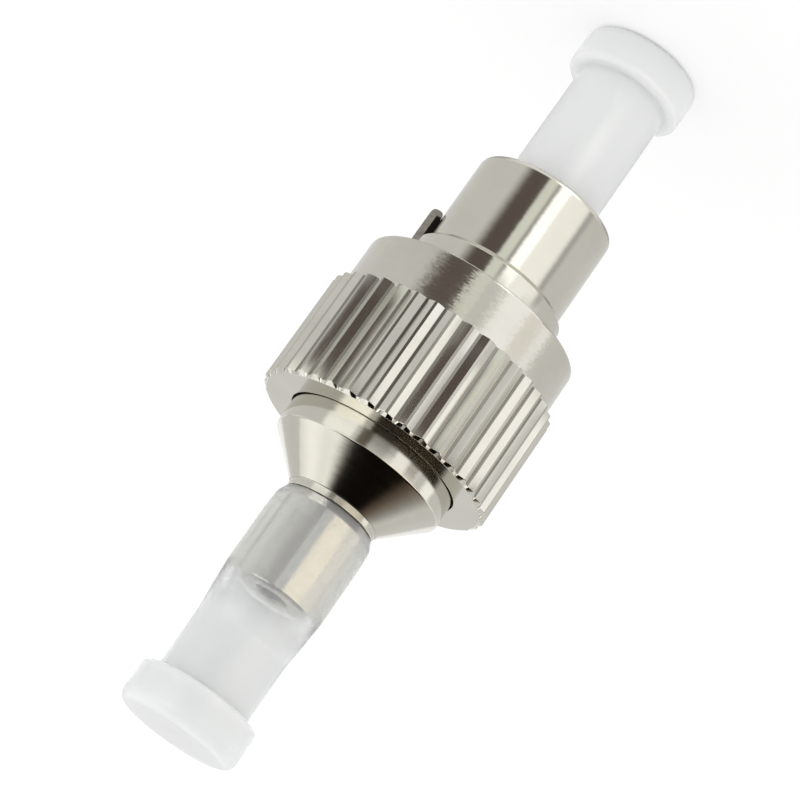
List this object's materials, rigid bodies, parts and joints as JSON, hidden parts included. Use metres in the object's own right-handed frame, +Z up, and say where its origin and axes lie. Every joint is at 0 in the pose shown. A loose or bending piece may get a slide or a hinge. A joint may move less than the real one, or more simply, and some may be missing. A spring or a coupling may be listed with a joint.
{
  "type": "fibre optic adapter",
  "caption": "Nickel-plated fibre optic adapter: keyed plug with a knurled coupling nut at one end, 1.25 mm ferrule socket at the other, milky dust caps on both.",
  "frame": {"origin": "centre of the flat end of the plug's dust cap, the lowest point", "axes": "+Z up along the turned axis, from the plug's cap to the socket's cap; +X through the plug's key"},
  "size_m": [0.01, 0.01, 0.0327],
  "materials": {
    "cap_plastic": "milky translucent polyethylene",
    "nickel_plate": "turned brass with bright nickel plate",
    "spring_steel": "drawn stainless spring wire",
    "zirconia": "ground zirconia",
    "fibre_glass": "bare silica fibre"
  },
  "bodies": {
    "housing": {"plug_barrel": "nickel_plate", "key_ring": "nickel_plate", "rear_body": "nickel_plate", "split_sleeve": "zirconia", "ferrule_spring": "spring_steel"},
    "nut_carrier": {"retaining_ring": "spring_steel"},
    "nut": {"coupling_nut": "nickel_plate"},
    "ferrule_unit": {"ferrule": "zirconia", "ferrule_flange": "nickel_plate", "inner_ferrule": "zirconia", "fibre_stub": "fibre_glass"},
    "front_cap": {"front_dust_cap": "cap_plastic"},
    "rear_cap": {"rear_dust_cap": "cap_plastic"}
  },
  "joints": [
    {"name": "nut_slide", "type": "slide", "parent": "housing", "child": "nut_carrier", "axis": [0, 0, -1], "range_m": [0, 0.0043]},
    {"name": "nut_spin", "type": "hinge", "parent": "nut_carrier", "child": "nut", "pos_m": [0, 0, 0.0162], "axis": [0, 0, 1], "continuous": true},
    {"name": "ferrule_float", "type": "slide", "parent": "housing", "child": "ferrule_unit", "axis": [0, 0, 1], "range_m": [0, 0.0008], "stiffness_N_per_m": 5000, "deforming": ["ferrule_spring"]},
    {"name": "front_cap_pull", "type": "slide", "parent": "housing", "child": "front_cap", "axis": [0, 0, -1], "range_m": [0, 0.012]},
    {"name": "rear_cap_pull", "type": "slide", "parent": "housing", "child": "rear_cap", "axis": [0, 0, 1], "range_m": [0, 0.012]}
  ]
}
